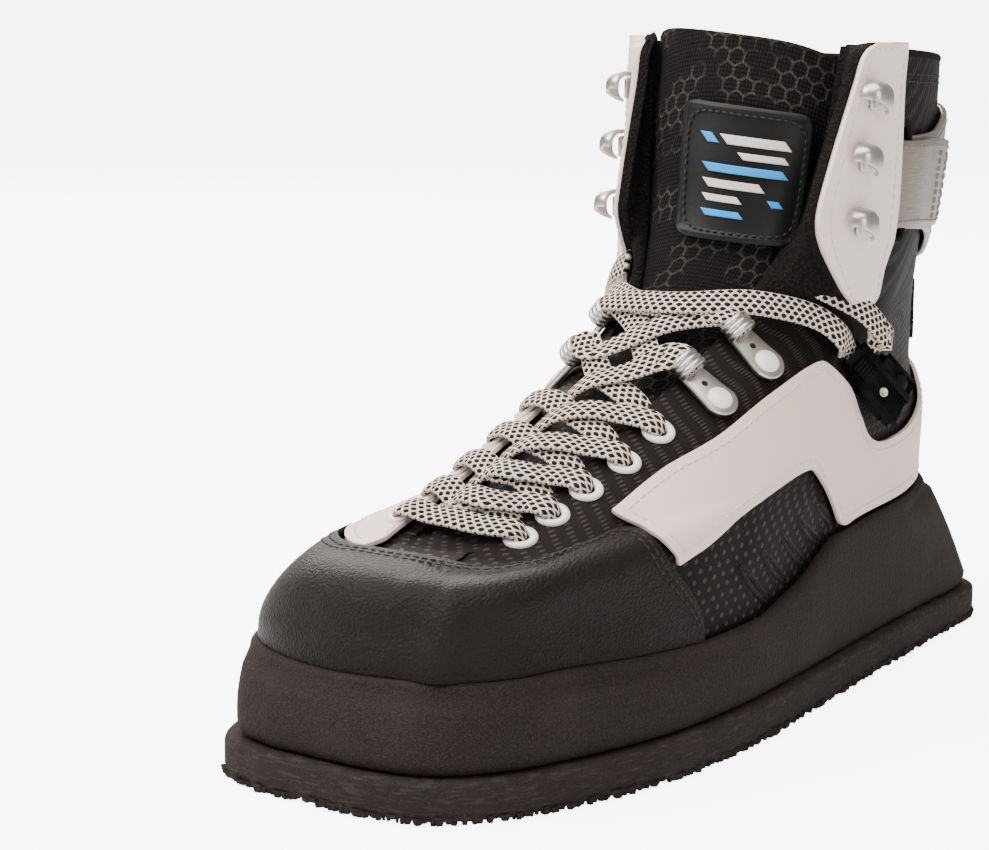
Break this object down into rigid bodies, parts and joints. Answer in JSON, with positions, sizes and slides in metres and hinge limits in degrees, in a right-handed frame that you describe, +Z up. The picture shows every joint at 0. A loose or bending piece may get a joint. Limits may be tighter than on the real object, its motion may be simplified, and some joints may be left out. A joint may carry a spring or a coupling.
{
  "type": "shooting shoe",
  "caption": "Left shooting shoe with a flat stiff rubber sole, laced leather upper, high shaft with hook flaps and a closed heel strap.",
  "frame": {"origin": "point on the flat underside of the outsole, half way along the shoe", "axes": "+Z up, -Y towards the toe, +X towards the wearer's left, the outer side of this left shoe"},
  "size_m": [0.113, 0.304, 0.1942],
  "materials": {
    "black_leather": "satin embossed",
    "white_leather": "satin, fine grain",
    "silver_strap": "brushed satin",
    "sole_rubber": "matte, speckled",
    "black_mesh": "open mesh",
    "silver_metal": "satin",
    "black_plastic": "satin",
    "white_enamel": "gloss",
    "lace_cord": "woven, dotted"
  },
  "bodies": {
    "root": {"outsole": "sole_rubber", "midsole": "sole_rubber", "insole": "black_mesh", "upper": "black_leather", "toe_cap": "black_leather", "quarter_panel": "white_leather", "heel_insert": "black_mesh", "pull_loop": "white_leather", "tongue": "black_mesh", "tongue_badge": "black_plastic", "heel_strap": "silver_strap", "lace_bar": "lace_cord", "lace_cross_1": "lace_cord", "lace_cross_2": "lace_cord", "lace_cross_3": "lace_cord", "lace_cross_4": "lace_cord", "lace_cross_5": "lace_cord", "lace_cross_6": "lace_cord", "lace_cross_7": "lace_cord", "strap_end_lateral": "silver_strap", "hook_tape_lateral": "black_mesh", "strap_ring_lateral": "black_plastic", "hook_flap_lateral": "white_leather", "lace_lock_lateral": "black_plastic", "lace_hook_lateral_1": "silver_metal", "lace_hook_lateral_2": "silver_metal", "lace_hook_lateral_3": "silver_metal", "eyelet_lateral_1": "white_enamel", "eyelet_lateral_2": "white_enamel", "eyelet_lateral_3": "white_enamel", "eyelet_lateral_4": "white_enamel", "eyelet_lateral_5": "white_enamel", "lace_ring_lateral_1": "silver_metal", "lace_ring_lateral_2": "silver_metal", "strap_end_medial": "silver_strap", "hook_tape_medial": "black_mesh", "strap_ring_medial": "black_plastic", "hook_flap_medial": "white_leather", "lace_lock_medial": "black_plastic", "lace_hook_medial_1": "silver_metal", "lace_hook_medial_2": "silver_metal", "lace_hook_medial_3": "silver_metal", "eyelet_medial_1": "white_enamel", "eyelet_medial_2": "white_enamel", "eyelet_medial_3": "white_enamel", "eyelet_medial_4": "white_enamel", "eyelet_medial_5": "white_enamel", "lace_ring_medial_1": "silver_metal", "lace_ring_medial_2": "silver_metal"}
  },
  "joints": []
}
